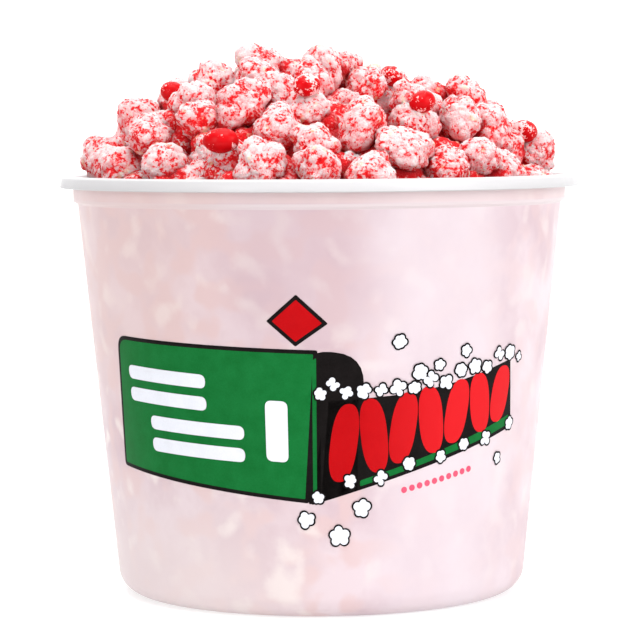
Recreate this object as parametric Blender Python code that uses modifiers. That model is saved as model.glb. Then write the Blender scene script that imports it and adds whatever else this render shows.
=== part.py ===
"""A round plastic bucket with a rolled rim, heaped with coated popcorn and a few red candies.

Frame: metres, +Z up, origin at the middle of the base. The bucket's front faces -Y.
"""

from math import atan, cos, hypot, pi, radians, sin, sqrt

import bmesh
import bpy
import numpy as np
from mathutils import Euler, Vector

MM = 0.001
GAP = 0.3 * MM  # space kept between touching solids

# Bucket
HEIGHT = 176.5 * MM
RIM_RADIUS = 110.0 * MM
LIP_HEIGHT = 5.0 * MM
LIP_THICKNESS = 1.7 * MM
LIP_ROUND = 1.5 * MM
COLLAR_RADIUS = 104.4 * MM
COLLAR_BOTTOM = HEIGHT - 10.9 * MM
LEDGE_WIDTH = 1.9 * MM
LEDGE_HEIGHT = 1.0 * MM
FOOT_LINE_RADIUS = 85.6 * MM  # where the line of the wall would meet the ground
CORNER_RADIUS = 10.1 * MM
WALL = 1.3 * MM
FLANGE_THICKNESS = 1.5 * MM
BASE_RECESS = 0.9 * MM
BASE_RECESS_RADIUS = 66.0 * MM
BASE_SLOPE = 3.0 * MM  # width of the sloping edge of the recess
EDGE = 0.4 * MM  # small bevels of the rim
BUCKET_STEPS = 72
CORNER_STEPS = 4

# Heap: the popcorn's top surface and the balls that make it uneven
HEAP_TOP = 48.5 * MM  # how far the middle of the dome stands over the rim, without its last balls
HEAP_SPREAD = 104.0 * MM
HEAP_SHAPE = 2.5
HEAP_LEAN = 0.03  # how much the dome falls towards +X
HEAP_EDGE_BELOW_RIM = 4.0 * MM
HEAP_GRID = 35
HEAP_CENTRE_DEPTH = 70.0 * MM
LAYER_DEPTH = 26.0 * MM
UNDER_LAYER = 9.0 * MM
BALL_RADII = (8.9 * MM, 11.4 * MM)
NESTING = 0.88  # how close two balls come, as a share of the sum of their radii
BED_RADIUS = 10.0 * MM
BED_SHARE = 0.86
CREST_SHARE = 0.7  # the least distance that piled balls keep to those of the crest, the same way
CANDY_SHARE = 0.6
BALL_SPARE = 1.15  # room for the uneven shape of a piece at the wall, as a share of its radius
BALL_TO_COLLAR = 0.75  # the least distance from a dropped ball's centre to the collar, in radii
BALL_SUNK = 0.5  # how far a ball's centre stays under the dome at least, in radii
BALL_SEED = 89
BALL_TRIES = 30
BALL_COUNT = 420

# The popped pieces that stand out along the crest: x, y, height over the rim and radius, in mm
CREST = (
    (-91.5, -7, 8.8, 9.4),
    (-76, -4, 24.4, 10.0),
    (-59, 3, 30.4, 9.4),
    (-44, -4, 39, 9.6),
    (-24, -4, 46.2, 10.0),
    (-12, -3, 40.2, 9.6),
    (2, -6, 45.4, 9.4),
    (10, 3, 44.4, 9.2),
    (20, -3, 37, 9.2),
    (30, 2, 36.4, 9.9),
    (44, -1, 31.4, 9.6),
    (62, -3, 31, 10.0),
    (71, -2, 22.8, 9.6),
    (80, 4, 13, 9.8),
    (91.5, -3, 8.6, 9.0),
)

# The candies: centre as x, y and height over the rim, size across, and turn, in mm and degrees
CANDIES = (
    ((-39, -79, 15), (14.6, 10.6, 10.2), (8, 0, -4)),
    ((-61, -22, 35), (10.4, 9.0, 9.0), (0, 20, 15)),
    ((-5, -58, 37), (12.2, 10.0, 9.4), (20, -10, 30)),
    ((30, -36, 41), (9.6, 8.6, 8.4), (0, 30, 0)),
    ((42, -54, 30), (11.2, 9.6, 9.2), (-15, -20, 20)),
    ((87, -8, 18), (10.8, 9.6, 9.2), (10, 25, 0)),
)
CANDY_RINGS = (12, 7)
CANDY_FULLER = 0.06  # how much wider one end is than the middle


def wall_radius(height):
    """Outer radius of the tapering wall at a height."""
    top = COLLAR_BOTTOM - LEDGE_HEIGHT
    slope = (COLLAR_RADIUS - LEDGE_WIDTH - FOOT_LINE_RADIUS) / top
    return FOOT_LINE_RADIUS + slope * height


def corner(offset, steps):
    """Points of the rounded corner from the wall down to the base, moved in by an offset."""
    slope = wall_radius(1.0) - wall_radius(0.0)
    middle = wall_radius(CORNER_RADIUS) - CORNER_RADIUS * hypot(1.0, slope)
    start = -atan(slope)
    reach = CORNER_RADIUS - offset
    for step in range(steps + 1):
        angle = start + (-pi / 2 - start) * step / steps
        yield middle + reach * cos(angle), CORNER_RADIUS + reach * sin(angle)


def rim_profile():
    """The rolled rim and the collar, from the inner edge over the top and down to the ledge."""
    inner = COLLAR_RADIUS - WALL
    lip_foot = HEIGHT - LIP_HEIGHT
    lip_inner = RIM_RADIUS - LIP_THICKNESS
    flange_under = HEIGHT - FLANGE_THICKNESS
    yield inner, COLLAR_BOTTOM + LEDGE_HEIGHT
    yield inner, HEIGHT - LIP_ROUND
    yield inner + LIP_ROUND, HEIGHT
    for step in range(3):
        angle = pi / 2 - step * radians(32)
        yield (
            RIM_RADIUS - 2.0 * LIP_ROUND + 1.6 * LIP_ROUND * cos(angle),
            HEIGHT - LIP_ROUND + LIP_ROUND * sin(angle),
        )
    yield RIM_RADIUS, lip_foot + EDGE
    yield RIM_RADIUS - EDGE, lip_foot
    yield lip_inner, lip_foot
    yield lip_inner - EDGE, flange_under
    yield COLLAR_RADIUS + 2.0 * EDGE, flange_under
    yield COLLAR_RADIUS, flange_under - 2.0 * EDGE
    yield COLLAR_RADIUS, COLLAR_BOTTOM
    yield COLLAR_RADIUS - LEDGE_WIDTH, COLLAR_BOTTOM - LEDGE_HEIGHT


def bucket_profile():
    """The section of the shell, from the middle of its floor, over the rim, to the middle of its base."""
    floor = BASE_RECESS + WALL
    yield 0.0, floor
    yield BASE_RECESS_RADIUS, floor
    yield BASE_RECESS_RADIUS + BASE_SLOPE, WALL
    yield from reversed(list(corner(WALL, CORNER_STEPS)))
    ledge = COLLAR_BOTTOM - LEDGE_HEIGHT
    yield wall_radius(ledge) - WALL, ledge
    yield from rim_profile()
    yield from corner(0.0, CORNER_STEPS)
    yield BASE_RECESS_RADIUS + BASE_SLOPE, 0.0
    yield BASE_RECESS_RADIUS, BASE_RECESS
    yield 0.0, BASE_RECESS


def dome(x, y):
    """Height of the smooth dome that the heap is built up to, with no single pieces."""
    share = np.clip(np.hypot(x, y) / HEAP_SPREAD, 0.0, 1.0)
    return HEIGHT + HEAP_TOP * (1.0 - share**HEAP_SHAPE) - HEAP_LEAN * x


def resting_height(x, y, radius, balls):
    """Where a ball dropped at x, y comes to lie on those already there, or on the layer below."""
    height = float(dome(x, y)) - LAYER_DEPTH
    for other in balls:
        reach = NESTING * (radius + other[3])
        away = (x - other[0]) ** 2 + (y - other[1]) ** 2
        if away < reach * reach:
            height = max(height, other[2] + sqrt(reach * reach - away))
    return height


def overlaps(ball, others, share):
    """Whether a ball comes nearer to one of the others than a share of the sum of their radii."""
    for other in others:
        apart = sqrt(sum((ball[i] - other[i]) ** 2 for i in range(3)))
        if apart < share * (ball[3] + other[3]):
            return True
    return False


def bed_under(candy):
    """The popped piece that a candy lies on, on the candy's side towards the middle of the heap."""
    x, y, z, radius = candy
    centre_z = HEIGHT - HEAP_CENTRE_DEPTH
    share = BED_SHARE * (radius + BED_RADIUS) / sqrt(x * x + y * y + (z - centre_z) ** 2)
    return x * (1.0 - share), y * (1.0 - share), z + (centre_z - z) * share, BED_RADIUS


def kept_inside(x, y, z, radius):
    """Moves a ball in from the wall where part of it lies below the rim."""
    across = radius
    if z > HEIGHT:
        across = sqrt(max(radius**2 - (z - HEIGHT) ** 2, 0.0))
    wall = min(COLLAR_RADIUS - LEDGE_WIDTH, wall_radius(min(z, HEIGHT)))
    limit = wall - WALL - BALL_SPARE * across
    share = min(1.0, limit / hypot(x, y))
    return x * share, y * share, z, radius


def heap_balls():
    """The popped pieces of the top layers as balls, x, y, z and radius, piled up one at a time."""
    random = np.random.default_rng(BALL_SEED)
    fixed = [(x * MM, y * MM, HEIGHT + z * MM, r * MM) for x, y, z, r in CREST]
    candies = [
        (x * MM, y * MM, HEIGHT + z * MM, 0.5 * MM * size[1])
        for (x, y, z), size, turn in CANDIES
    ]
    fixed += [bed_under(candy) for candy in candies]
    balls = []
    for _ in range(BALL_COUNT):
        radius = random.uniform(*BALL_RADII)
        best = None
        for _ in range(BALL_TRIES):
            away = (COLLAR_RADIUS - BALL_TO_COLLAR * radius) * sqrt(random.uniform())
            turn = random.uniform(0.0, 2.0 * pi)
            x = away * cos(turn)
            y = away * sin(turn)
            height = resting_height(x, y, radius, balls)
            over = height + BALL_SUNK * radius - float(dome(x, y))
            if best is None or over < best[0]:
                best = (over, (x, y, height, radius))
        if best[0] < 0.0:
            balls.append(best[1])
    balls = [kept_inside(*ball) for ball in balls]
    clear = [ball for ball in balls if not overlaps(ball, fixed, CREST_SHARE)]
    return fixed + [ball for ball in clear if not overlaps(ball, candies, CANDY_SHARE)]


def as_disc(x, y, radius):
    """A point of the square from -1 to 1, moved to its place in a disc."""
    return x * sqrt(1.0 - y * y / 2.0) * radius, y * sqrt(1.0 - x * x / 2.0) * radius


def heap_point(x, y, balls):
    """The heap's outer surface over x, y, seen from a point deep inside it: the furthest ball that way."""
    inside = Vector((0.0, 0.0, HEIGHT - HEAP_CENTRE_DEPTH))
    outward = (Vector((x, y, float(dome(x, y)))) - inside).normalized()
    reach = (Vector((x, y, float(dome(x, y)) - UNDER_LAYER)) - inside).dot(outward)
    for ball in balls:
        centre = Vector(ball[:3]) - inside
        along = centre.dot(outward)
        through = ball[3] ** 2 - (centre.length_squared - along * along)
        if through > 0.0:
            reach = max(reach, along + sqrt(through))
    point = inside + outward * reach
    edge = COLLAR_RADIUS - WALL - GAP
    across = hypot(point.x, point.y)
    if point.z < HEIGHT + GAP and across > edge:
        point = Vector((point.x * edge / across, point.y * edge / across, point.z))
    return point


def new_object(name, mesh, collection):
    item = bpy.data.objects.new(name, mesh)
    collection.objects.link(item)
    return item


def mesh_of(name, shape):
    mesh = bpy.data.meshes.new(name)
    shape.to_mesh(mesh)
    shape.free()
    return mesh


def material(name, colour, roughness, transmission=0.0):
    made = bpy.data.materials.new(name)
    made.use_nodes = True
    shader = made.node_tree.nodes["Principled BSDF"]
    shader.inputs["Base Color"].default_value = (*colour, 1.0)
    shader.inputs["Roughness"].default_value = roughness
    shader.inputs["Metallic"].default_value = 0.0
    shader.inputs["Transmission Weight"].default_value = transmission
    return made


def make_bucket(collection):
    """The thin tapering shell, turned in one piece with its rim."""
    shape = bmesh.new()
    corners = [shape.verts.new((radius, 0.0, height)) for radius, height in bucket_profile()]
    for first, second in zip(corners, corners[1:]):
        shape.edges.new((first, second))
    bucket = new_object("bucket", mesh_of("bucket", shape), collection)
    turn = bucket.modifiers.new("Turn", "SCREW")
    turn.steps = BUCKET_STEPS
    turn.render_steps = BUCKET_STEPS
    turn.use_merge_vertices = True
    turn.merge_threshold = 0.0001
    turn.use_smooth_shade = True
    bucket.data.materials.append(material("frosted_plastic", (0.86, 0.80, 0.80), 0.35, 0.4))
    return bucket


def heap_sides():
    """Rings of the heap inside the bucket, under its top edge, as radius and height."""
    collar = COLLAR_RADIUS - WALL - GAP
    ledge = COLLAR_BOTTOM - LEDGE_HEIGHT
    yield collar, COLLAR_BOTTOM + LEDGE_HEIGHT + GAP
    yield wall_radius(ledge) - WALL - GAP, ledge
    yield from corner(WALL + GAP, CORNER_STEPS // 2)
    yield BASE_RECESS_RADIUS, BASE_RECESS + WALL + GAP


def ring_out(shape, edges, radius, height):
    """Extrudes a ring of edges to another radius and height, and returns the new ring."""
    made = bmesh.ops.extrude_edge_only(shape, edges=edges)["geom"]
    for vertex in made:
        if isinstance(vertex, bmesh.types.BMVert):
            flat = Vector((vertex.co.x, vertex.co.y, 0.0)).normalized() * radius
            vertex.co = (flat.x, flat.y, height)
    return [edge for edge in made if isinstance(edge, bmesh.types.BMEdge)]


def make_heap(collection):
    """All the popcorn as one solid, from the bucket's floor up to its uneven top."""
    balls = heap_balls()
    edge_radius = COLLAR_RADIUS - WALL - GAP
    shape = bmesh.new()
    bmesh.ops.create_grid(shape, x_segments=HEAP_GRID, y_segments=HEAP_GRID, size=1.0)
    for vertex in shape.verts:
        x, y = as_disc(vertex.co.x, vertex.co.y, edge_radius)
        if vertex.is_boundary:
            vertex.co = (x, y, HEIGHT - HEAP_EDGE_BELOW_RIM)
        else:
            vertex.co = heap_point(x, y, balls)
    ring = [edge for edge in shape.edges if edge.is_boundary]
    for radius, height in heap_sides():
        ring = ring_out(shape, ring, radius, height)
    bmesh.ops.holes_fill(shape, edges=ring, sides=0)
    bmesh.ops.triangulate(shape, faces=shape.faces)
    bmesh.ops.recalc_face_normals(shape, faces=shape.faces)
    heap = new_object("popcorn_heap", mesh_of("popcorn_heap", shape), collection)
    heap.data.shade_smooth()
    heap.data.materials.append(material("popcorn_coating", (0.85, 0.30, 0.32), 0.8))
    return heap


def candy_mesh(name, size, grow):
    """A smooth bean, a little fuller at one end, grown outwards by an amount."""
    around, rings = CANDY_RINGS
    shape = bmesh.new()
    bmesh.ops.create_uvsphere(shape, u_segments=around, v_segments=rings, radius=1.0)
    half = [0.5 * MM * across + grow for across in size]
    for vertex in shape.verts:
        fuller = 1.0 + CANDY_FULLER * vertex.co.x
        vertex.co = (
            vertex.co.x * half[0],
            vertex.co.y * half[1] * fuller,
            vertex.co.z * half[2] * fuller,
        )
    bmesh.ops.triangulate(shape, faces=shape.faces)
    return mesh_of(name, shape)


def make_candies(collection, helpers, heap):
    """Each candy lies in a pocket of its own in the heap, which its cutter makes."""
    coating = material("red_candy", (0.62, 0.02, 0.03), 0.15)
    for number, (place, size, turn) in enumerate(CANDIES, start=1):
        name = f"candy_{number}"
        candy = new_object(name, candy_mesh(name, size, 0.0), collection)
        candy.data.shade_smooth()
        candy.data.materials.append(coating)
        cutter = new_object(f"pocket_{number}", candy_mesh(f"pocket_{number}", size, GAP), helpers)
        cutter.hide_render = True
        cutter.display_type = "WIRE"
        for item in (candy, cutter):
            item.location = (place[0] * MM, place[1] * MM, HEIGHT + place[2] * MM)
            item.rotation_euler = Euler([radians(angle) for angle in turn])
        cut = heap.modifiers.new(f"Pocket {number}", "BOOLEAN")
        cut.operation = "DIFFERENCE"
        cut.solver = "EXACT"
        cut.object = cutter


def main():
    for item in list(bpy.data.objects):
        bpy.data.objects.remove(item)
    parts = bpy.data.collections.new("bucket_of_popcorn")
    helpers = bpy.data.collections.new("cutters")
    for collection in (parts, helpers):
        bpy.context.scene.collection.children.link(collection)
    make_bucket(parts)
    heap = make_heap(parts)
    make_candies(parts, helpers, heap)


main()
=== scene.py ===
"""Looks for the bucket of popcorn: a frosted printed tub, its heap of coated popcorn and its candies."""

from math import atan, copysign, cos, hypot, pi, radians, sin, sqrt

import bmesh
import bpy
import numpy as np
from mathutils import Euler, Matrix, Vector, noise


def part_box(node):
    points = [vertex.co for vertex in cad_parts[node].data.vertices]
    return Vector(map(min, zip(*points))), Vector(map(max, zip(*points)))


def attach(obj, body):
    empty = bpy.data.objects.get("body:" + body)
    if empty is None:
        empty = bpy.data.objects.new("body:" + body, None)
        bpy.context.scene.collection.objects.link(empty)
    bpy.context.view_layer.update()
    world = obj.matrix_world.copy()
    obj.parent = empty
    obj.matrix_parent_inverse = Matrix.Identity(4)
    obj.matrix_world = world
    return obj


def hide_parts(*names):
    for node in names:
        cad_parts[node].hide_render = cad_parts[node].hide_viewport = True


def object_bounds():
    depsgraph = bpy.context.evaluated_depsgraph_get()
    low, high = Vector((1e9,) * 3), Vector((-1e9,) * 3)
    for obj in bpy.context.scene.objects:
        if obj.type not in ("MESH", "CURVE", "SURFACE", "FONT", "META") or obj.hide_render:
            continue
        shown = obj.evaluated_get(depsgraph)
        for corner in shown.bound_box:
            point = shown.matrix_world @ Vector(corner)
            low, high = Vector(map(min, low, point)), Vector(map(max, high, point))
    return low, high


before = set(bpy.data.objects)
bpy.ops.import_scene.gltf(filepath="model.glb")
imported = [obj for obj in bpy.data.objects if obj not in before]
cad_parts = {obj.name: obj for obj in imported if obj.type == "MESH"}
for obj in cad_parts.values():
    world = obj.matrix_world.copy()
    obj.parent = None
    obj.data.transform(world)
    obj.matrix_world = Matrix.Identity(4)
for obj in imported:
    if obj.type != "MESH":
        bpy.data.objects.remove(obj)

MM = 0.001
CAD_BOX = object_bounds()

# The tub's sizes, as on the CAD part
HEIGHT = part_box("bucket")[1].z
RIM_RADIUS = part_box("bucket")[1].x
LIP_HEIGHT = 5.0 * MM
LIP_THICKNESS = 1.7 * MM
LIP_ROUND = 1.5 * MM
COLLAR_RADIUS = 104.4 * MM
COLLAR_BOTTOM = HEIGHT - 10.9 * MM
LEDGE_WIDTH = 1.9 * MM
LEDGE_HEIGHT = 1.0 * MM
FOOT_LINE_RADIUS = 85.6 * MM
CORNER_RADIUS = 10.1 * MM
WALL = 1.3 * MM
FLANGE_THICKNESS = 1.5 * MM
BASE_RECESS = 0.9 * MM
BASE_RECESS_RADIUS = 66.0 * MM
TUB_STEPS = 240
CORNER_STEPS = 12

# The heap's sizes, as on the CAD part
HEAP_TOP = 48.5 * MM
HEAP_SPREAD = 104.0 * MM
HEAP_SHAPE = 2.5
HEAP_LEAN = 0.03
HEAP_CENTRE_DEPTH = 70.0 * MM
LAYER_DEPTH = 26.0 * MM
BALL_RADII = (8.9 * MM, 11.4 * MM)
NESTING = 0.88
BED_RADIUS = 10.0 * MM
BED_SHARE = 0.86
CREST_SHARE = 0.7
CANDY_SHARE = 0.6
BALL_SPARE = 1.15
BALL_TO_COLLAR = 0.75
BALL_SUNK = 0.5
BALL_SEED = 89
BALL_TRIES = 30
BALL_COUNT = 420
CREST = (
    (-91.5, -7, 8.8, 9.4),
    (-76, -4, 24.4, 10.0),
    (-59, 3, 30.4, 9.4),
    (-44, -4, 39, 9.6),
    (-24, -4, 46.2, 10.0),
    (-12, -3, 40.2, 9.6),
    (2, -6, 45.4, 9.4),
    (10, 3, 44.4, 9.2),
    (20, -3, 37, 9.2),
    (30, 2, 36.4, 9.9),
    (44, -1, 31.4, 9.6),
    (62, -3, 31, 10.0),
    (71, -2, 22.8, 9.6),
    (80, 4, 13, 9.8),
    (91.5, -3, 8.6, 9.0),
)
CANDIES = (
    ((-39, -79, 15), (14.6, 10.6, 10.2), (8, 0, -4)),
    ((-61, -22, 35), (10.4, 9.0, 9.0), (0, 20, 15)),
    ((-5, -58, 37), (12.2, 10.0, 9.4), (20, -10, 30)),
    ((30, -36, 41), (9.6, 8.6, 8.4), (0, 30, 0)),
    ((42, -54, 30), (11.2, 9.6, 9.2), (-15, -20, 20)),
    ((87, -8, 18), (10.8, 9.6, 9.2), (10, 25, 0)),
)

CANDY_SUGAR = (-0.3, 0.0, 0.7, 0.5, 0.1, 0.5)  # more or less dust on each candy
HALF_HIDING = ((35, -45, 32.5, 6.3), (22.5, -42.5, 37, 6.0))

# Print: ink layers in metres, shapes in mm
INK_LIFT = 0.02 * MM
INK_LAYER = 0.05 * MM
PRINT_MIDDLE = 80 * MM
PRINT_STRIP = 3 * MM
PRINT_STRIPS = 34
OVALS = 7
OVAL_WIDTH = 11.0
OVAL_LEAN = 7.0
PUFFS_ABOVE = 11
PUFFS_BELOW = 8
PUFF_STEPS = 48
PUFF_EDGE = 0.75
BAR_HEIGHT = 5.6
BAR_ROUNDING = 2.7
DOTS = 10
DOT_RADIUS = 1.3

# Hidden layers
GOLDEN_ANGLE = pi * (3.0 - sqrt(5.0))
COUNT_BELOW = 130
RADIUS_BELOW = 9.5 * MM
DEPTH_BELOW = 23 * MM
WALL_ROWS = 9
WALL_KERNEL = 9.6 * MM
LOWEST_ROW = 16 * MM
ROW_STEP = 17 * MM
FLOOR_KERNELS = 52
FLOOR_ROW = 14.5 * MM

# Popped kernels
GAP_WIDTH = 4.5 * MM
GAP_DEPTH = 9.0 * MM
KERNEL_REACH = 1.25  # the furthest a kernel's lobes stand out, as a share of its radius
SHAPES = 20  # different kernels that are modelled; each is used many times, turned and scaled
FINE_CUTS = 17
MIDDLE_CUTS = 8
COARSE_CUTS = 5
CANDY_CUTS = 13

# Camera
CAMERA_DISTANCE = 1.229
CAMERA_HEIGHT = 0.1994
CAMERA_PITCH = 3.96
CAMERA_ROLL = -0.34
CAMERA_LENS = 162.3

# Stage
FLOOR_HALF = 9.0
FLOOR_BACK = 2.2
FLOOR_ROUNDING = 0.8
BACKDROP_HEIGHT = 3.0


# ---------------------------------------------------------------- small helpers


def add_object(name, mesh):
    item = bpy.data.objects.new(name, mesh)
    bpy.context.scene.collection.objects.link(item)
    return item


def piece(name, mesh, slot, *materials, replaces=()):
    """An object that rides on the tub's one body and takes the materials given; the slot is not used."""
    item = add_object(name, mesh)
    for made in materials:
        item.data.materials.append(made)
    item.data.shade_smooth()
    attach(item, "root")
    if replaces:
        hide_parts(*replaces)
    return item


def mesh_from(name, points, faces, attributes=None):
    """A mesh from an array of points and an array of faces with equal numbers of corners."""
    mesh = bpy.data.meshes.new(name)
    count, corners = faces.shape
    mesh.vertices.add(len(points))
    mesh.vertices.foreach_set("co", points.astype(np.float32).ravel())
    mesh.loops.add(count * corners)
    mesh.loops.foreach_set("vertex_index", faces.astype(np.int32).ravel())
    mesh.polygons.add(count)
    mesh.polygons.foreach_set("loop_start", np.arange(0, count * corners, corners, dtype=np.int32))
    mesh.update(calc_edges=True)
    for key, values in (attributes or {}).items():
        layer = mesh.attributes.new(key, "FLOAT", "POINT")
        layer.data.foreach_set("value", values.astype(np.float32))
    return mesh


class Shader:
    """A material's node tree, with one short call for each kind of node."""

    def __init__(self, name):
        self.material = bpy.data.materials.new(name)
        self.material.use_nodes = True
        self.tree = self.material.node_tree
        self.surface = self.tree.nodes["Principled BSDF"]
        self.place = self.tree.nodes.new("ShaderNodeTexCoord").outputs["Object"]

    def set(self, **values):
        """Sets the surface's sockets: a number or colour directly, an output by a link."""
        for key, value in values.items():
            self.feed(self.surface.inputs[key.replace("_", " ")], value)

    def feed(self, socket, value):
        if isinstance(value, bpy.types.NodeSocket):
            self.tree.links.new(value, socket)
        elif isinstance(value, tuple) and len(socket.default_value) == 4:
            socket.default_value = (*value, 1.0)
        else:
            socket.default_value = value

    def noise(self, size, detail=2.0, rough=0.5):
        """Noise whose features are about this size, in metres."""
        made = self.tree.nodes.new("ShaderNodeTexNoise")
        self.tree.links.new(self.place, made.inputs["Vector"])
        made.inputs["Scale"].default_value = 1.0 / size
        made.inputs["Detail"].default_value = detail
        made.inputs["Roughness"].default_value = rough
        return made.outputs["Fac"]

    def attribute(self, name):
        made = self.tree.nodes.new("ShaderNodeAttribute")
        made.attribute_name = name
        return made.outputs["Fac"]

    def part(self, vector, axis):
        """One coordinate, X, Y or Z, of a vector."""
        split = self.tree.nodes.new("ShaderNodeSeparateXYZ")
        self.tree.links.new(vector, split.inputs["Vector"])
        return split.outputs[axis]

    def upward(self):
        """How far the surface faces up, from -1 to 1."""
        geometry = self.tree.nodes.new("ShaderNodeNewGeometry")
        return self.part(geometry.outputs["Normal"], "Z")

    def math(self, operation, first, second=0.0):
        made = self.tree.nodes.new("ShaderNodeMath")
        made.operation = operation
        self.feed(made.inputs[0], first)
        self.feed(made.inputs[1], second)
        return made.outputs[0]

    def times(self, first, second):
        return self.math("MULTIPLY", first, second)

    def total(self, *terms):
        """The sum of terms, each an output and its weight."""
        found = None
        for output, weight in terms:
            part = self.times(output, weight)
            found = part if found is None else self.math("ADD", found, part)
        return found

    def spread(self, value, low, high, to_low=0.0, to_high=1.0):
        """The value moved from one range to another, eased and clamped."""
        made = self.tree.nodes.new("ShaderNodeMapRange")
        made.interpolation_type = "SMOOTHSTEP"
        self.feed(made.inputs["Value"], value)
        ranges = {"From Min": low, "From Max": high, "To Min": to_low, "To Max": to_high}
        for key, number in ranges.items():
            made.inputs[key].default_value = number
        return made.outputs["Result"]

    def near(self, value, middle, inner, outer, share):
        """A share where a value is within an inner distance of a middle, faded out at an outer one."""
        away = self.math("ABSOLUTE", self.math("ADD", value, -middle))
        return self.spread(away, outer, inner, 0.0, share)

    def ramp(self, value, *stops):
        """Colours blended along a value; each stop is its position and colour."""
        made = self.tree.nodes.new("ShaderNodeValToRGB")
        elements = made.color_ramp.elements
        while len(elements) < len(stops):
            elements.new(0.5)
        for element, (position, colour) in zip(elements, stops):
            element.position = position
            element.color = (*colour, 1.0)
        self.feed(made.inputs["Fac"], value)
        return made.outputs["Color"]

    def mix(self, share, first, second):
        made = self.tree.nodes.new("ShaderNodeMix")
        made.data_type = "RGBA"
        self.feed(made.inputs[0], share)
        self.feed(made.inputs[6], first)
        self.feed(made.inputs[7], second)
        return made.outputs[2]

    def bump(self, height, depth, strength):
        made = self.tree.nodes.new("ShaderNodeBump")
        made.inputs["Strength"].default_value = strength
        made.inputs["Distance"].default_value = depth
        self.tree.links.new(height, made.inputs["Height"])
        self.tree.links.new(made.outputs["Normal"], self.surface.inputs["Normal"])


# ---------------------------------------------------------------- materials


def popcorn_material(name, bare_or_shaded_shift):
    """Sugar coating: pink and white powder, red where the powder wears through, with painted shade that
    makes it redder and darker in the creases, the gaps and underneath, and painted light that makes it
    whiter on the crests and tops.
    """
    shader = Shader(name)
    middle = shader.noise(2.3 * MM, 3.0, 0.6)
    fine = shader.noise(0.8 * MM, 3.0, 0.65)
    hollow = shader.attribute("hollow")
    crest = shader.attribute("crest")
    gap = shader.attribute("gap")
    pale = shader.attribute("pale")
    upward = shader.upward()
    # Painted light and shade in the powder: more of it on the crests and on faces turned up, less in the
    # creases and in the gaps
    powder = shader.total(
        (middle, 0.65),
        (fine, 0.55),
        (crest, 0.16),
        (hollow, -0.14),
        (gap, -0.30),
        (pale, 0.03),
        (upward, 0.10),
    )
    powdered = shader.ramp(
        powder,
        (0.36, (0.95, 0.17, 0.18)),
        (0.48, (0.98, 0.38, 0.395)),
        (0.57, (0.98, 0.55, 0.56)),
        (0.65, (0.97, 0.66, 0.67)),
        (0.79, (0.96, 0.78, 0.78)),
    )
    flecks = shader.noise(1.3 * MM, 3.0, 0.62)
    # Painted shade in the red: more of it in the creases, the gaps and on faces turned down, less on the
    # crests; the flecks and the broad noise are the coating's own
    bare_or_shaded = shader.total(
        (flecks, 1.0),
        (shader.noise(5.5 * MM, 2.0), 0.55),
        (hollow, 0.20),
        (crest, -0.10),
        (gap, 0.22),
        (pale, -0.03),
        (upward, -0.04),
    )
    bare_or_shaded = shader.math("ADD", bare_or_shaded, bare_or_shaded_shift)
    red = shader.ramp(
        bare_or_shaded,
        (0.48, (0.96, 0.09, 0.095)),
        (0.62, (0.90, 0.009, 0.013)),
        (0.9, (0.66, 0.001, 0.004)),
    )
    coated = shader.mix(shader.spread(bare_or_shaded, 0.42, 0.56), powdered, red)
    cream = shader.spread(shader.noise(4 * MM, 2.0), 0.62, 0.74, 0.0, 0.55)
    coated = shader.mix(cream, coated, (0.95, 0.76, 0.50))
    # Painted shade: dark red deep in the gaps between kernels
    shaded = shader.spread(gap, 0.15, 0.85, 0.0, 0.65)
    shader.set(
        Base_Color=shader.mix(shaded, coated, (0.40, 0.012, 0.016)),
        Roughness=shader.spread(powder, 0.3, 0.6, 0.5, 0.9),
        Subsurface_Weight=0.6,
        Subsurface_Radius=(0.004, 0.0006, 0.0006),
        Subsurface_Scale=1.0,
        Sheen_Weight=0.05,
        Sheen_Roughness=0.4,
        Specular_IOR_Level=0.10,
    )
    grain = shader.total((fine, 1.1), (shader.noise(0.4 * MM, 2.0), 0.4), (flecks, 0.8))
    shader.bump(grain, 1.5 * MM, 1.0)
    return shader.material


def core_shade_material():
    """Painted shade: a dark red for the hidden core deep between the kernels, darker and redder where
    little light reaches.
    """
    shader = Shader("core_painted_shade")
    mottle = shader.noise(3 * MM, 4.0, 0.6)
    shader.set(
        Base_Color=shader.ramp(
            mottle,
            (0.35, (0.16, 0.003, 0.004)),
            (0.55, (0.38, 0.012, 0.014)),
            (0.75, (0.60, 0.12, 0.12)),
        ),
        Roughness=0.7,
    )
    shader.bump(mottle, 1.2 * MM, 0.8)
    return shader.material


def candy_material():
    """A hard red shell with a slight shine and a dusting of sugar, more of it on some candies."""
    shader = Shader("red_candy")
    dust = shader.total((shader.noise(3.2 * MM, 2.0), 0.7), (shader.noise(0.7 * MM, 2.0), 0.35))
    sugared = shader.total((dust, 1.0), (shader.attribute("sugar"), 0.12))
    dusted = shader.spread(sugared, 0.60, 0.66, 0.0, 0.85)
    red = shader.ramp(shader.noise(4 * MM), (0.3, (0.45, 0.001, 0.003)), (0.7, (0.55, 0.001, 0.004)))
    shader.set(
        Base_Color=shader.mix(dusted, red, (0.94, 0.62, 0.62)),
        Roughness=shader.spread(dust, 0.45, 0.66, 0.3, 0.8),
        Specular_IOR_Level=0.07,
        Coat_Weight=0.07,
        Coat_Roughness=0.15,
    )
    shader.bump(dust, 0.25 * MM, 0.4)
    return shader.material


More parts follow.
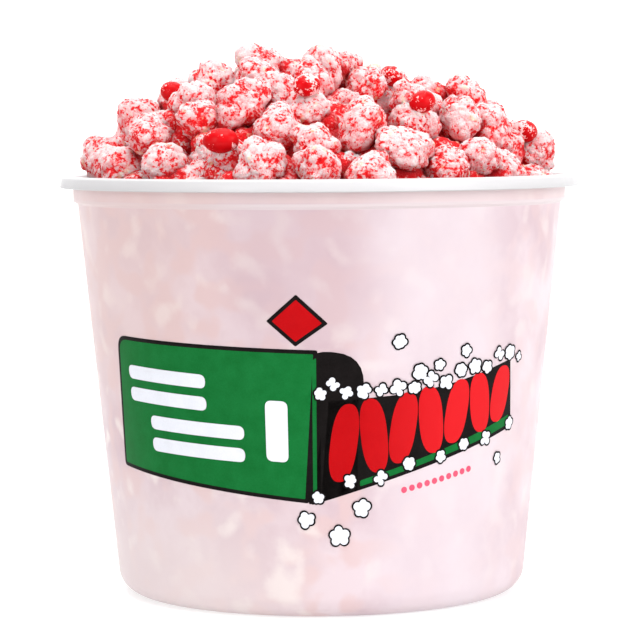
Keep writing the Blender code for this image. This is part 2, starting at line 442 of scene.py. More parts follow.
def frosted_material():
    """Milky polypropylene: whiter at the thick rim. The wall's colour carries painted light: the pink of
    the popcorn behind it showing through, lighter on the right and at the foot on the left, with painted
    shade high in the middle and on the left.
    """
    shader = Shader("frosted_plastic")
    height = shader.part(shader.place, "Z")
    aside = shader.part(shader.place, "X")
    broad = shader.noise(24 * MM, 0.0)
    soft = shader.noise(12 * MM, 0.5)
    blotch = shader.noise(6 * MM)
    # Painted light: the pink of the popcorn seen through the wall, painted into the wall's colour
    tint = shader.ramp(
        shader.total((broad, 0.7), (blotch, 0.3)),
        (0.36, (0.57, 0.42, 0.46)),
        (0.50, (0.63, 0.495, 0.53)),
        (0.64, (0.69, 0.57, 0.605)),
    )
    # Painted light: salmon and cream patches of the popcorn seen through the wall, fainter on the right
    # where the wall is painted lighter
    clearer = shader.spread(aside, 50 * MM, 0.0, 0.45, 1.0)
    salmon = shader.spread(shader.total((soft, 0.8), (blotch, 0.2)), 0.46, 0.64, 0.0, 0.8)
    tint = shader.mix(shader.times(salmon, clearer), tint, (0.655, 0.465, 0.465))
    bright = shader.total((shader.noise(10 * MM, 0.0), 0.8), (shader.noise(4 * MM), 0.2))
    cream = shader.spread(bright, 0.53, 0.78, 0.0, 1.0)
    tint = shader.mix(shader.times(cream, clearer), tint, (0.76, 0.67, 0.65))
    # Painted shade: darker, more saturated colour high in the middle; painted light: whiter on the
    # right, towards the right-hand light, and whiter at the foot on the left
    deep = shader.times(
        shader.near(aside, -5 * MM, 18 * MM, 42 * MM, 0.65),
        shader.spread(height, 95 * MM, 125 * MM),
    )
    tint = shader.mix(deep, tint, (0.545, 0.40, 0.435))
    right = shader.near(aside, 48 * MM, 12 * MM, 42 * MM, 0.7)
    tint = shader.mix(right, tint, (0.70, 0.61, 0.65))
    foot = shader.times(
        shader.spread(height, 70 * MM, 10 * MM, 0.0, 0.8),
        shader.spread(aside, 20 * MM, -50 * MM),
    )
    tint = shader.mix(foot, tint, (0.73, 0.625, 0.625))
    # The ledge, the collar and the rim are thicker; the collar is also lightened as painted light
    # against the shade under the rim
    ledge = shader.times(
        shader.spread(height, COLLAR_BOTTOM - 1.3 * MM, COLLAR_BOTTOM - 0.9 * MM),
        shader.spread(height, COLLAR_BOTTOM + 1.6 * MM, COLLAR_BOTTOM + 0.9 * MM),
    )
    tint = shader.mix(ledge, tint, (0.66, 0.57, 0.585))
    collar = shader.spread(height, COLLAR_BOTTOM + 0.9 * MM, COLLAR_BOTTOM + 2.0 * MM, 0.0, 0.6)
    tint = shader.mix(collar, tint, (0.70, 0.56, 0.555))
    # Painted shade: darker and pinker high on the left, away from the right-hand light
    left = shader.times(
        shader.spread(aside, -20 * MM, -70 * MM, 0.0, 0.55),
        shader.spread(height, 60 * MM, 110 * MM),
    )
    tint = shader.mix(left, tint, (0.62, 0.45, 0.435))
    rim = shader.spread(height, HEIGHT - LIP_HEIGHT - 0.5 * MM, HEIGHT - LIP_HEIGHT)
    shader.set(
        Base_Color=shader.mix(rim, tint, (0.56, 0.55, 0.56)),
        Roughness=shader.spread(blotch, 0.3, 0.7, 0.42, 0.50),
        Transmission_Weight=0.15,
        IOR=1.49,
        Specular_IOR_Level=0.2,
        Coat_Weight=0.15,
        Coat_Roughness=0.1,
    )
    shader.bump(shader.total((shader.noise(0.5 * MM), 0.5), (blotch, 0.5)), 0.02 * MM, 0.3)
    return shader.material


def ink_material(name, dark, light, right=None):
    """Glossy printing ink, slightly uneven in density, and of another shade towards the right."""
    shader = Shader(name)
    density = shader.total((shader.noise(6 * MM, 3.0), 0.6), (shader.noise(0.6 * MM, 1.0), 0.4))
    ink = shader.ramp(density, (0.3, dark), (0.7, light))
    if right:
        ink = shader.mix(shader.spread(shader.part(shader.place, "X"), 10 * MM, 60 * MM), ink, right)
    shader.set(
        Base_Color=ink,
        Roughness=shader.spread(density, 0.3, 0.7, 0.3, 0.42),
        Specular_IOR_Level=0.03,
        Coat_Weight=0.04,
        Coat_Roughness=0.1,
    )
    shader.bump(density, 0.01 * MM, 0.3)
    return shader.material


# ---------------------------------------------------------------- the tub


def wall_radius(height):
    """Outer radius of the tapering wall at a height."""
    top = COLLAR_BOTTOM - LEDGE_HEIGHT
    slope = (COLLAR_RADIUS - LEDGE_WIDTH - FOOT_LINE_RADIUS) / top
    return FOOT_LINE_RADIUS + slope * height


def corner(offset, steps):
    """Points of the rounded corner from the wall down to the base, moved in by an offset."""
    slope = wall_radius(1.0) - wall_radius(0.0)
    middle = wall_radius(CORNER_RADIUS) - CORNER_RADIUS * hypot(1.0, slope)
    start = -atan(slope)
    for step in range(steps + 1):
        angle = start + (-pi / 2 - start) * step / steps
        reach = CORNER_RADIUS - offset
        yield middle + reach * cos(angle), CORNER_RADIUS + reach * sin(angle)


def rim_profile():
    """The rolled rim and the collar, from the inner edge over the top and down to the ledge."""
    inner = COLLAR_RADIUS - WALL
    lip_foot = HEIGHT - LIP_HEIGHT
    lip_inner = RIM_RADIUS - LIP_THICKNESS
    flange_under = HEIGHT - FLANGE_THICKNESS
    yield inner, COLLAR_BOTTOM + LEDGE_HEIGHT
    for step in range(7):
        angle = pi - step * pi / 12
        yield inner + LIP_ROUND * (1.0 + cos(angle)), HEIGHT - LIP_ROUND + LIP_ROUND * sin(angle)
    for step in range(7):
        angle = pi / 2 - step * radians(11)
        yield (
            RIM_RADIUS - 2.0 * LIP_ROUND + 1.6 * LIP_ROUND * cos(angle),
            HEIGHT - LIP_ROUND + LIP_ROUND * sin(angle),
        )
    for step in range(5):
        angle = -step * pi / 8
        yield RIM_RADIUS + 0.4 * MM * (cos(angle) - 1.0), lip_foot + 0.4 * MM * (1.0 + sin(angle))
    yield lip_inner + 0.2 * MM, lip_foot
    yield lip_inner, lip_foot + 0.2 * MM
    yield lip_inner - 0.3 * MM, flange_under
    yield COLLAR_RADIUS + 0.8 * MM, flange_under
    yield COLLAR_RADIUS + 0.2 * MM, flange_under - 0.2 * MM
    yield COLLAR_RADIUS, flange_under - 0.8 * MM
    yield COLLAR_RADIUS, COLLAR_BOTTOM + 0.3 * MM
    yield COLLAR_RADIUS - 0.3 * MM, COLLAR_BOTTOM
    yield COLLAR_RADIUS - LEDGE_WIDTH + 0.2 * MM, COLLAR_BOTTOM - 0.8 * LEDGE_HEIGHT


def tub_profile():
    """The shell's section, from the middle of its floor, over the rim, to the middle of its base."""
    floor = BASE_RECESS + WALL
    yield 0.0, floor
    yield BASE_RECESS_RADIUS, floor
    yield BASE_RECESS_RADIUS + 3.0 * MM, WALL
    yield from reversed(list(corner(WALL, CORNER_STEPS)))
    yield wall_radius(COLLAR_BOTTOM) - WALL, COLLAR_BOTTOM - LEDGE_HEIGHT
    yield from rim_profile()
    yield wall_radius(COLLAR_BOTTOM - LEDGE_HEIGHT), COLLAR_BOTTOM - LEDGE_HEIGHT
    yield from corner(0.0, CORNER_STEPS)
    yield BASE_RECESS_RADIUS + 3.0 * MM, 0.0
    yield BASE_RECESS_RADIUS, BASE_RECESS
    yield 0.0, BASE_RECESS


def turned(name, profile, steps):
    """A mesh turned round the Z axis from a profile whose two ends lie on it."""
    rings = np.array(list(profile))
    turn = np.arange(steps) * 2.0 * pi / steps
    inner = rings[1:-1]
    points = np.stack(
        [
            inner[:, :1] * np.cos(turn)[None, :],
            inner[:, :1] * np.sin(turn)[None, :],
            np.repeat(inner[:, 1:], steps, axis=1),
        ],
        axis=-1,
    ).reshape(-1, 3)
    shape = bmesh.new()
    verts = [shape.verts.new(point) for point in points]
    ends = [shape.verts.new((0.0, 0.0, rings[end, 1])) for end in (0, -1)]
    for ring in range(len(inner) - 1):
        for step in range(steps):
            after = (step + 1) % steps
            row = ring * steps
            below = row + steps
            corners = row + step, below + step, below + after, row + after
            shape.faces.new([verts[index] for index in corners])
    last = (len(inner) - 1) * steps
    for step in range(steps):
        after = (step + 1) % steps
        shape.faces.new((ends[0], verts[step], verts[after]))
        shape.faces.new((ends[1], verts[last + after], verts[last + step]))
    bmesh.ops.recalc_face_normals(shape, faces=shape.faces)
    mesh = bpy.data.meshes.new(name)
    shape.to_mesh(mesh)
    shape.free()
    return mesh


def make_tub():
    tub = piece(
        "tub", turned("tub", tub_profile(), TUB_STEPS), "frosted_plastic", frosted_material(),
        replaces=("bucket",),
    )
    tub.data.set_sharp_from_angle(angle=radians(50))


# ---------------------------------------------------------------- the print on the wall


def printed(name, outlines, layer, material):
    """Thin shapes of ink. Outlines give distances round the wall from the front, and heights."""
    flat = bmesh.new()
    for outline in outlines:
        flat.faces.new([flat.verts.new((round_wall, height, 0.0)) for round_wall, height in outline])
    bmesh.ops.triangulate(flat, faces=flat.faces)
    for strip in range(-PRINT_STRIPS, PRINT_STRIPS + 1):
        everything = flat.verts[:] + flat.edges[:] + flat.faces[:]
        place = (strip * PRINT_STRIP, 0.0, 0.0)
        bmesh.ops.bisect_plane(flat, geom=everything, plane_co=place, plane_no=(1.0, 0.0, 0.0))
    for item in bmesh.ops.extrude_face_region(flat, geom=flat.faces[:])["geom"]:
        if isinstance(item, bmesh.types.BMVert):
            item.co.z = 1.0
    bmesh.ops.recalc_face_normals(flat, faces=flat.faces)
    for vertex in flat.verts:
        turn = vertex.co.x / wall_radius(PRINT_MIDDLE)
        above = INK_LIFT + INK_LAYER * (layer + vertex.co.z)
        radius = wall_radius(vertex.co.y) + above
        vertex.co = (radius * sin(turn), -radius * cos(turn), vertex.co.y)
    mesh = bpy.data.meshes.new(name)
    flat.to_mesh(mesh)
    flat.free()
    item = piece(name, mesh, "frosted_plastic", material)
    item.data.set_sharp_from_angle(angle=radians(40))
    return item


def rounded(corners, rounding):
    """A closed outline through corners, in mm, each replaced by an arc-like curve of this size."""
    points = []
    count = len(corners)
    for index, corner_point in enumerate(corners):
        here = np.array(corner_point, float)
        before = np.array(corners[index - 1], float) - here
        after = np.array(corners[(index + 1) % count], float) - here
        size = rounding[index] if isinstance(rounding, tuple) else rounding
        start = here + before * min(size / np.hypot(*before), 0.5)
        end = here + after * min(size / np.hypot(*after), 0.5)
        for step in range(7):
            share = step / 6
            points.append((1 - share) ** 2 * start + 2 * share * (1 - share) * here + share**2 * end)
    return [tuple(point * MM) for point in points]


def oval(middle, width, height, lean):
    """The outline of an upright oval with flattened sides, in mm, that leans by some degrees."""
    points = []
    for step in range(40):
        turn = step * pi / 20
        x = 0.5 * width * copysign(abs(cos(turn)) ** 0.8, cos(turn))
        y = 0.5 * height * copysign(abs(sin(turn)) ** 0.8, sin(turn))
        aside = y * sin(radians(lean))
        points.append(((middle[0] + x + aside) * MM, (middle[1] + y) * MM))
    return points


def moved_in(corners, inset):
    """Corners of a convex outline that runs clockwise, each edge moved in by an inset."""
    count = len(corners)
    lines = []
    for index in range(count):
        first = np.array(corners[index], float)
        along = np.array(corners[(index + 1) % count], float) - first
        along /= np.hypot(*along)
        inward = np.array([along[1], -along[0]])
        lines.append((first + inward * inset, along))
    found = []
    for index in range(count):
        (first, along), (other, across) = lines[index - 1], lines[index]
        share = np.linalg.solve(np.array([along, -across]).T, other - first)[0]
        found.append(tuple(first + along * share))
    return found


def puff(place, random, grow=0.0):
    """The outline of a popped kernel at x, y and with a size: the edge of some uneven circles, in mm."""
    x, y, across = place
    lobes = int(random.integers(4, 7))
    uneven = np.arange(lobes) + random.uniform(-0.18, 0.18, lobes)
    turns = 2.0 * pi * uneven / lobes + random.uniform(0.0, 2.0 * pi)
    away = 0.5 * across * random.uniform(0.52, 0.64, lobes)
    sizes = 0.5 * across * random.uniform(0.38, 0.50, lobes)
    points = []
    for turn in np.arange(PUFF_STEPS) * 2.0 * pi / PUFF_STEPS:
        along = away * np.cos(turn - turns)
        through = sizes**2 - (away * np.sin(turn - turns)) ** 2
        edge = along + np.sqrt(np.maximum(through, 0.0))
        reach = np.where((through > 0.0) & (along > 0.0), edge, 0.4 * away)
        radius = float(reach.max()) + grow
        points.append(((x + radius * cos(turn)) * MM, (y + radius * sin(turn)) * MM))
    return points


def puff_places(random):
    """Where the printed puffs are and how large, in mm: loose ones, and rows along the banner."""
    places = [(31, 112, 5.5), (61, 107, 4.7), (40, 99.5, 6.0), (48.5, 102, 4.5), (94, 102.5, 3.8)]
    places += [(-6, 41, 6.7), (7.5, 34, 8.4), (17, 45.5, 7.4), (84, 61.5, 4.4)]
    places += [(0, 91.5, 5.0), (5, 95.5, 5.6), (10, 92, 5.2)]
    for number in range(PUFFS_ABOVE):
        share = number / (PUFFS_ABOVE - 1)
        y = 90.5 + 4 * share + 9.5 * share**2 + random.uniform(-1, 3)
        places.append((17 + 70 * share, y, random.uniform(5.0, 6.8)))
    for number in range(PUFFS_BELOW):
        share = number / (PUFFS_BELOW - 1)
        x = -1 + 91 * share + random.uniform(-2, 2)
        y = 51 + 23 * share + random.uniform(-1, 3)
        places.append((x, y, random.uniform(4.6, 6.2)))
    return places


def dot(x, y):
    turns = np.arange(16) * pi / 8
    return [((x + DOT_RADIUS * cos(turn)) * MM, (y + DOT_RADIUS * sin(turn)) * MM) for turn in turns]


def make_print():
    """Plain fields of colour on the wall: a panel, a banner of ovals, a diamond, puffs and dots."""
    green = ink_material("green_ink", (0.002, 0.105, 0.018), (0.006, 0.140, 0.030))
    black = ink_material("black_ink", (0.003, 0.002, 0.002), (0.008, 0.006, 0.006))
    red = ink_material("red_ink", (0.36, 0.001, 0.003), (0.41, 0.002, 0.004), (0.56, 0.010, 0.014))
    white = ink_material("white_ink", (0.61, 0.62, 0.67), (0.68, 0.69, 0.75))
    pink = ink_material("pink_ink", (0.72, 0.06, 0.12), (0.80, 0.10, 0.16))

    panel = [(-96, 112.4), (-1, 109), (-5, 47.5), (-101, 58)]
    block = [(-6, 109.4), (17, 107), (17, 53), (-5, 47.0)]
    banner = [(2, 88.5), (45, 91.5), (88, 102), (92.5, 74), (46, 61.5), (-4, 46.8)]
    diamond = [(-9, 131.2), (3.0, 119.6), (-9.5, 110.5), (-20.5, 120.6)]
    backing = [
        rounded(panel, (6, 1, 1, 2)),
        rounded(block, (10, 12, 2, 1)),
        rounded(banner, (1, 30, 1, 2, 30, 1)),
        rounded(diamond, 0.6),
    ]
    printed("print_black", backing, 0, black)
    edging = [(-3.2, 105), (-1.6, 106), (-1.6, 50), (-3.2, 50)]
    strip = [(16, 56.5), (52, 67.5), (90, 79.0), (90.8, 75.2), (50, 64.2), (16, 54.2)]
    greens = [
        rounded(moved_in(panel, 1.6), (5, 0.5, 0.5, 1)),
        rounded(edging, 0.5),
        rounded(strip, 0.8),
    ]
    printed("print_green", greens, 1, green)

    reds = [rounded(moved_in(diamond, 1.5), 0.4)]
    for number in range(OVALS):
        middle = 9.3 + 12.2 * number
        low = 53.5 + 0.28 * middle
        high = 86.0 + 0.165 * middle
        lean = OVAL_LEAN * (-1) ** number
        reds.append(oval((middle, 0.5 * (low + high)), OVAL_WIDTH, high - low, lean))
    printed("print_red", reds, 2, red)

    places = puff_places(np.random.default_rng(21))
    shapes = np.random.default_rng(22)
    printed("print_puff_edges", [puff(place, shapes, PUFF_EDGE) for place in places], 4, black)
    shapes = np.random.default_rng(22)
    whites = [puff(place, shapes) for place in places]
    for left, right, low in ((-89, -47, 95), (-89, -47, 86), (-77, -31, 75), (-77, -31, 66)):
        drop = -0.05 * (right - left)
        high = low + BAR_HEIGHT
        bar = [(left, high), (right, high + drop), (right, low + drop), (left, low)]
        whites.append(rounded(bar, BAR_ROUNDING))
    whites.append(rounded([(-22, 89), (-13, 88.6), (-13, 64), (-22, 64.6)], BAR_ROUNDING))
    printed("print_white", whites, 5, white)
    dots = [dot(35 + 3.5 * number, 52 + 0.72 * number) for number in range(DOTS)]
    printed("print_beads", dots, 0, pink)


# ---------------------------------------------------------------- where the kernels lie


def dome(x, y):
    """Height of the smooth dome that the heap is built up to, with no single pieces."""
    share = np.clip(np.hypot(x, y) / HEAP_SPREAD, 0.0, 1.0)
    return HEIGHT + HEAP_TOP * (1.0 - share**HEAP_SHAPE) - HEAP_LEAN * x


def resting_height(x, y, radius, balls):
    """Where a ball dropped at x, y comes to lie on those already there, or on the layer below."""
    height = float(dome(x, y)) - LAYER_DEPTH
    for other in balls:
        reach = NESTING * (radius + other[3])
        away = (x - other[0]) ** 2 + (y - other[1]) ** 2
        if away < reach * reach:
            height = max(height, other[2] + sqrt(reach * reach - away))
    return height


def overlaps(ball, others, share):
    """Whether a ball comes nearer to one of the others than a share of the sum of their radii."""
    for other in others:
        apart = sqrt(sum((ball[i] - other[i]) ** 2 for i in range(3)))
        if apart < share * (ball[3] + other[3]):
            return True
    return False


def bed_under(candy):
    """The popped piece that a candy lies on, on the candy's side towards the middle of the heap."""
    x, y, z, radius = candy
    centre_z = HEIGHT - HEAP_CENTRE_DEPTH
    share = BED_SHARE * (radius + BED_RADIUS) / sqrt(x * x + y * y + (z - centre_z) ** 2)
    return x * (1.0 - share), y * (1.0 - share), z + (centre_z - z) * share, BED_RADIUS


def kept_inside(x, y, z, radius):
    """Moves a ball in from the wall where part of it lies below the rim."""
    across = radius
    if z > HEIGHT:
        across = sqrt(max(radius**2 - (z - HEIGHT) ** 2, 0.0))
    wall = min(COLLAR_RADIUS - LEDGE_WIDTH, wall_radius(min(z, HEIGHT)))
    limit = wall - WALL - BALL_SPARE * across
    share = min(1.0, limit / hypot(x, y))
    return x * share, y * share, z, radius


def heap_balls():
    """The popped pieces of the top layers as balls, x, y, z and radius, as the CAD part has them."""
    random = np.random.default_rng(BALL_SEED)
    fixed = [(x * MM, y * MM, HEIGHT + z * MM, r * MM) for x, y, z, r in CREST]
    candies = [
        (x * MM, y * MM, HEIGHT + z * MM, 0.5 * MM * size[1])
        for (x, y, z), size, turn in CANDIES
    ]
    fixed += [bed_under(candy) for candy in candies]
    balls = []
    for _ in range(BALL_COUNT):
        radius = random.uniform(*BALL_RADII)
        best = None
        for _ in range(BALL_TRIES):
            away = (COLLAR_RADIUS - BALL_TO_COLLAR * radius) * sqrt(random.uniform())
            turn = random.uniform(0.0, 2.0 * pi)
            x = away * cos(turn)
            y = away * sin(turn)
            height = resting_height(x, y, radius, balls)
            over = height + BALL_SUNK * radius - float(dome(x, y))
            if best is None or over < best[0]:
                best = (over, (x, y, height, radius))
        if best[0] < 0.0:
            balls.append(best[1])
    balls = [kept_inside(*ball) for ball in balls]
    clear = [ball for ball in balls if not overlaps(ball, fixed, CREST_SHARE)]
    return fixed + [ball for ball in clear if not overlaps(ball, candies, CANDY_SHARE)]


def layer_below(random):
    """Kernels under the top ones, spread evenly over the dome by the golden angle."""
    for number in range(COUNT_BELOW):
        away = (COLLAR_RADIUS - WALL - RADIUS_BELOW) * sqrt((number + 0.5) / COUNT_BELOW)
        turn = number * GOLDEN_ANGLE
        x = away * cos(turn) + random.uniform(-2, 2) * MM
        y = away * sin(turn) + random.uniform(-2, 2) * MM
        yield kept_inside(x, y, float(dome(x, y)) - DEPTH_BELOW, RADIUS_BELOW)


def layer_at_wall(random):
    """Kernels that lie against the inside of the wall, row over row, and on the floor."""
    for row in range(WALL_ROWS):
        height = LOWEST_ROW + row * ROW_STEP
        away = wall_radius(height) - WALL - KERNEL_REACH * WALL_KERNEL
        around = int(2.0 * pi * away / (2.0 * WALL_KERNEL * 0.97))
        for number in range(around):
            turn = (number + 0.5 * (row % 2)) * 2.0 * pi / around
            reach = away - random.uniform(0.0, 2.5) * MM
            size = WALL_KERNEL * random.uniform(0.86, 1.0)
            z = height + random.uniform(-3, 3) * MM
            yield reach * cos(turn), reach * sin(turn), z, size
    for number in range(FLOOR_KERNELS):
        away = (wall_radius(0.0) - 24 * MM) * sqrt((number + 0.5) / FLOOR_KERNELS)
        turn = number * GOLDEN_ANGLE
        yield away * cos(turn), away * sin(turn), FLOOR_ROW, WALL_KERNEL


# ---------------------------------------------------------------- popped kernels


def round_cube(cuts):
    """Unit directions and faces of a cube blown up to a sphere, with even squares."""
    shape = bmesh.new()
    bmesh.ops.create_cube(shape, size=2.0)
    bmesh.ops.subdivide_edges(shape, edges=shape.edges, cuts=cuts, use_grid_fill=True)
    points = np.tan(np.array([vertex.co for vertex in shape.verts]) * pi / 4)
    points /= np.linalg.norm(points, axis=1, keepdims=True)
    faces = np.array([[vertex.index for vertex in face.verts] for face in shape.faces])
    shape.free()
    return points, faces


def popped_kernel(directions, random):
    """One kernel's points, how deep in a hollow each lies and how much it stands out."""
    lobes = int(random.integers(8, 14))
    centres = random.normal(size=(lobes, 3))
    centres *= (random.uniform(0.40, 0.68, lobes) / np.linalg.norm(centres, axis=1))[:, None]
    centres[0] *= 0.1
    sizes = random.uniform(0.34, 0.52, lobes)
    sizes[0] = 0.80
    along = directions @ centres.T
    through = sizes**2 - ((centres**2).sum(1) - along**2)
    reach = np.where(through > 0.0, along + np.sqrt(np.maximum(through, 0.0)), 0.45)
    sharp = 26.0
    surface = np.log(np.exp(sharp * reach).sum(1)) / sharp
    ranked = np.sort(reach, axis=1)
    crease = 1.0 - np.clip((ranked[:, -1] - ranked[:, -2]) / 0.10, 0.0, 1.0)
    surface /= np.percentile(surface, 66)
    shift = Vector(random.uniform(-9.0, 9.0, 3))
    nodules = np.empty((len(directions), 5))
    for index, direction in enumerate(directions):
        large = noise.voronoi(Vector(direction) * 2.3 + shift)[0]
        small = noise.voronoi(Vector(direction) * 5.2 + shift)[0]
        crumbs = noise.noise(Vector(direction) * 9.0 + shift)
        crumbs += 0.6 * noise.noise(Vector(direction) * 17.0 + shift)
        nodules[index] = large[0], large[1] - large[0], small[0], small[1] - small[0], crumbs
    surface += 0.15 * (0.45 - nodules[:, 0]) + 0.10 * (0.42 - nodules[:, 2]) + 0.045 * nodules[:, 4]
    seams = 1.0 - np.clip(nodules[:, 1] / 0.22, 0.0, 1.0)
    small_seams = 1.0 - np.clip(nodules[:, 3] / 0.2, 0.0, 1.0)
    hollow = np.clip(0.6 * crease**2 + 0.6 * seams + 0.3 * small_seams, 0.0, 1.0)
    crest = np.clip(1.0 - 0.9 * nodules[:, 0] - 0.5 * nodules[:, 2], 0.0, 1.0)
    return directions * surface[:, None], hollow, crest


def turned_at_random(random):
    """A rotation, every direction as likely."""
    turn = random.normal(size=4)
    turn /= np.linalg.norm(turn)
    w, x, y, z = turn
    return np.array(
        [
            [1 - 2 * (y * y + z * z), 2 * (x * y - z * w), 2 * (x * z + y * w)],
            [2 * (x * y + z * w), 1 - 2 * (x * x + z * z), 2 * (y * z - x * w)],
            [2 * (x * z - y * w), 2 * (y * z + x * w), 1 - 2 * (x * x + y * y)],
        ]
    )


def gap_share(points, ball, balls):
    """How far points of a kernel lie in the gaps between it and its neighbours, from 0 to 1, where the
    coating is painted with shade.
    """
    place = np.array(ball[:3])
    heart = np.array([0.0, 0.0, HEIGHT - HEAP_CENTRE_DEPTH])
    near = [other for other in balls if 0.0 < np.linalg.norm(np.array(other[:3]) - place) < 30 * MM]
    if not near:
        return np.zeros(len(points))
    centres = np.array(near)[:, :3]
    radii = np.array(near)[:, 3]
    clear = np.linalg.norm(points[:, None] - centres[None], axis=2) - radii
    tops = np.linalg.norm(centres - heart, axis=1) + radii
    depth = tops[None] - np.linalg.norm(points - heart, axis=1)[:, None]
    shares = np.clip(1.0 - clear / GAP_WIDTH, 0.0, 1.0) * np.clip(depth / GAP_DEPTH - 0.4, 0.0, 1.0)
    return shares.max(1)


def scattered(name, balls, around, cuts, stretch, seed, material):
    """All kernels of one kind joined as one piece; those around them decide where the gaps are."""
    random = np.random.default_rng(seed)
    directions, faces = round_cube(cuts)
    kinds = [popped_kernel(directions, random) for _ in range(SHAPES)]
    points = []
    hollows = []
    crests = []
    pales = []
    gaps = []
    joined = []
    for number, (x, y, z, radius) in enumerate(balls):
        shape, hollow, crest = kinds[number % SHAPES]
        size = radius * np.array(stretch) * random.uniform(0.95, 1.05, 3)
        placed = (shape * size) @ turned_at_random(random).T + (x, y, z)
        placed[:, 2] -= max(0.0, placed[:, 2].max() - CAD_BOX[1].z)
        points.append(placed)
        hollows.append(hollow)
        crests.append(crest)
        pales.append(np.full(len(shape), random.uniform(-1.0, 1.0)))
        gaps.append(gap_share(placed, (x, y, z), around))
        joined.append(faces + number * len(shape))
    mesh = mesh_from(
        name,
        np.concatenate(points),
        np.concatenate(joined),
        {
            "hollow": np.concatenate(hollows),
            "crest": np.concatenate(crests),
            "pale": np.concatenate(pales),
            "gap": np.concatenate(gaps),
        },
    )
    return piece(name, mesh, "popcorn_coating", material)


def make_popcorn():
    coating = popcorn_material("popcorn_coating", -0.385)
    # Painted shade: a redder copy of the coating for the kernels lower down in the heap
    shaded_lower = popcorn_material("lower_coating_shade", -0.25)
    balls = heap_balls()
    hiding = [(x * MM, y * MM, HEIGHT + z * MM, r * MM) for x, y, z, r in HALF_HIDING]
    scattered("popcorn_round", balls[0::3] + hiding, balls, FINE_CUTS, (1.0, 1.0, 1.0), 1, coating)
    scattered("popcorn_long", balls[1::3], balls, FINE_CUTS, (1.12, 0.93, 0.97), 2, coating)
    scattered("popcorn_flat", balls[2::3], balls, FINE_CUTS, (1.06, 1.04, 0.88), 3, coating)
    random = np.random.default_rng(4)
    below = list(layer_below(random))
    scattered("popcorn_below", below, balls, MIDDLE_CUTS, (1.0, 1.0, 1.0), 5, shaded_lower)
    at_wall = list(layer_at_wall(random))
    scattered("popcorn_at_wall", at_wall, balls, COARSE_CUTS, (1.0, 1.0, 1.0), 6, coating)


def core_profile():
    """The heap's hidden middle, well inside the outer kernels."""
    yield 0.0, 12 * MM
    yield 72 * MM, 12 * MM
    for step in range(7):
        height = (18 + step * 24) * MM
        yield wall_radius(height) - 13 * MM, height
    for step in range(9):
        across = 90 * MM * (1.0 - step / 9)
        yield across, float(dome(across, 0.0)) - 24 * MM
    yield 0.0, float(dome(0.0, 0.0)) - 24 * MM


def make_core():
    mesh = turned("popcorn_core", list(core_profile())[::-1], 96)
    for vertex in mesh.vertices:
        push = noise.noise(vertex.co * 90.0) * 3 * MM
        vertex.co += vertex.co.normalized() * push
    # The core's dark red is painted shade, seen through the gaps between the kernels
    piece("popcorn_core", mesh, "popcorn_coating", core_shade_material(), replaces=("popcorn_heap",))


# ---------------------------------------------------------------- candies


def make_candies():
    coating = candy_material()
    directions, faces = round_cube(CANDY_CUTS)
    random = np.random.default_rng(8)
    for number, (place, size, turn) in enumerate(CANDIES, start=1):
        half = np.array(size) * 0.5 * MM
        fuller = 1.0 + 0.06 * directions[:, :1]
        points = directions * half * np.concatenate([np.ones_like(fuller), fuller, fuller], axis=1)
        shift = Vector((number * 5.0, 0, 0))
        wobble = np.array([noise.noise(Vector(direction) * 1.7 + shift) for direction in directions])
        points *= 1.0 + 0.02 * (wobble[:, None] - 0.4)
        spin = np.array(Euler([radians(angle) for angle in turn]).to_matrix())
        centre = np.array([place[0] * MM, place[1] * MM, HEIGHT + place[2] * MM])
        name = f"candy_{number}"
        sugar = {"sugar": np.full(len(points), CANDY_SUGAR[number - 1])}
        mesh = mesh_from(f"red_{name}", points @ spin.T + centre, faces, sugar)
        piece(f"red_{name}", mesh, "red_candy", coating, replaces=(name,))


# ---------------------------------------------------------------- camera, lights and stage


def make_camera():
    camera = bpy.data.objects.new("camera", bpy.data.cameras.new("camera"))
    bpy.context.scene.collection.objects.link(camera)
    camera.location = (0.0, -CAMERA_DISTANCE, CAMERA_HEIGHT)
    pitched = Matrix.Rotation(radians(90 - CAMERA_PITCH), 3, "X")
    rolled = Matrix.Rotation(radians(CAMERA_ROLL), 3, "Z")
    camera.rotation_euler = (pitched @ rolled).to_euler()
    camera.data.lens = CAMERA_LENS
    camera.data.sensor_width = 36.0
    bpy.context.scene.camera = camera


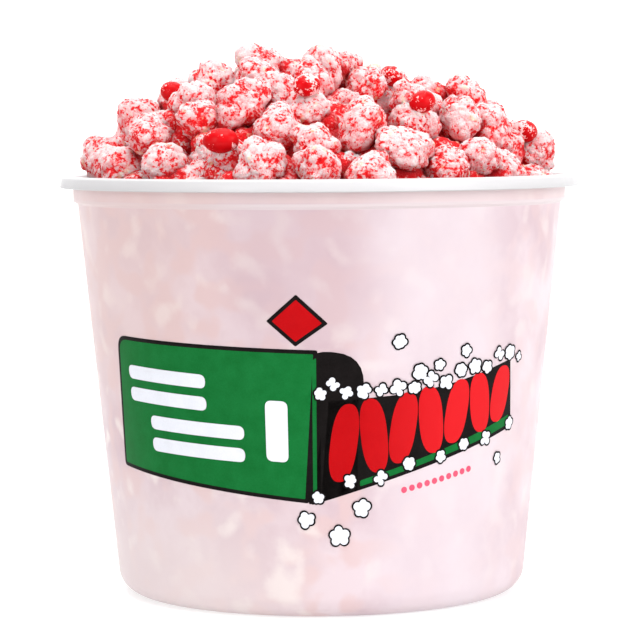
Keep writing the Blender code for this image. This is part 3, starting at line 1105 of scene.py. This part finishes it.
def area_light(name, place, target, size, power):
    light = bpy.data.lights.new(name, "AREA")
    light.shape = "RECTANGLE"
    light.size, light.size_y = size
    light.energy = power
    item = bpy.data.objects.new(name, light)
    bpy.context.scene.collection.objects.link(item)
    item.location = place
    item.rotation_euler = (Vector(target) - Vector(place)).to_track_quat("-Z", "Y").to_euler()


def make_stage():
    """A pale floor that curves up into a backdrop, and soft light from both sides, above and behind."""
    straight_to = FLOOR_BACK - FLOOR_ROUNDING
    line = [(-FLOOR_HALF, 0.0), (straight_to, 0.0)]
    for step in range(1, 13):
        angle = step * pi / 24
        up = FLOOR_ROUNDING * (1.0 - cos(angle))
        line.append((straight_to + FLOOR_ROUNDING * sin(angle), up))
    line.append((FLOOR_BACK, BACKDROP_HEIGHT))
    points = np.array([(side * FLOOR_HALF, y, z) for y, z in line for side in (-1, 1)])
    faces = np.array([(2 * i, 2 * i + 1, 2 * i + 3, 2 * i + 2) for i in range(len(line) - 1)])
    floor = add_object("floor", mesh_from("floor", points, faces))
    shader = Shader("pale_floor")
    pale = shader.ramp(shader.noise(0.4), (0.3, (0.44, 0.44, 0.44)), (0.7, (0.46, 0.46, 0.46)))
    shader.set(
        Base_Color=pale,
        Roughness=0.7,
        Emission_Color=(1.0, 1.0, 1.0),
        Emission_Strength=0.6,
    )
    floor.data.materials.append(shader.material)
    floor.data.shade_smooth()
    world = bpy.data.worlds.new("studio")
    bpy.context.scene.world = world
    world.use_nodes = True
    background = world.node_tree.nodes["Background"]
    background.inputs["Color"].default_value = (1.0, 1.0, 1.0, 1.0)
    background.inputs["Strength"].default_value = 0.51
    middle = (0.0, 0.0, 0.12)
    area_light("key_right", (1.3, -1.0, 0.8), middle, (1.1, 1.2), 21.5)
    area_light("fill_left", (-1.0, -1.35, 0.5), middle, (0.6, 1.0), 9)
    area_light("top", (0.0, -0.35, 1.25), middle, (0.8, 0.8), 13)
    area_light("backdrop_light", (0.0, 1.0, 2.0), (0.0, 2.2, 0.6), (2.4, 0.6), 70)
    scene = bpy.context.scene
    scene.view_settings.view_transform = "Standard"
    scene.view_settings.look = "None"


make_camera()
make_stage()
make_tub()
make_print()
make_core()
make_popcorn()
make_candies()
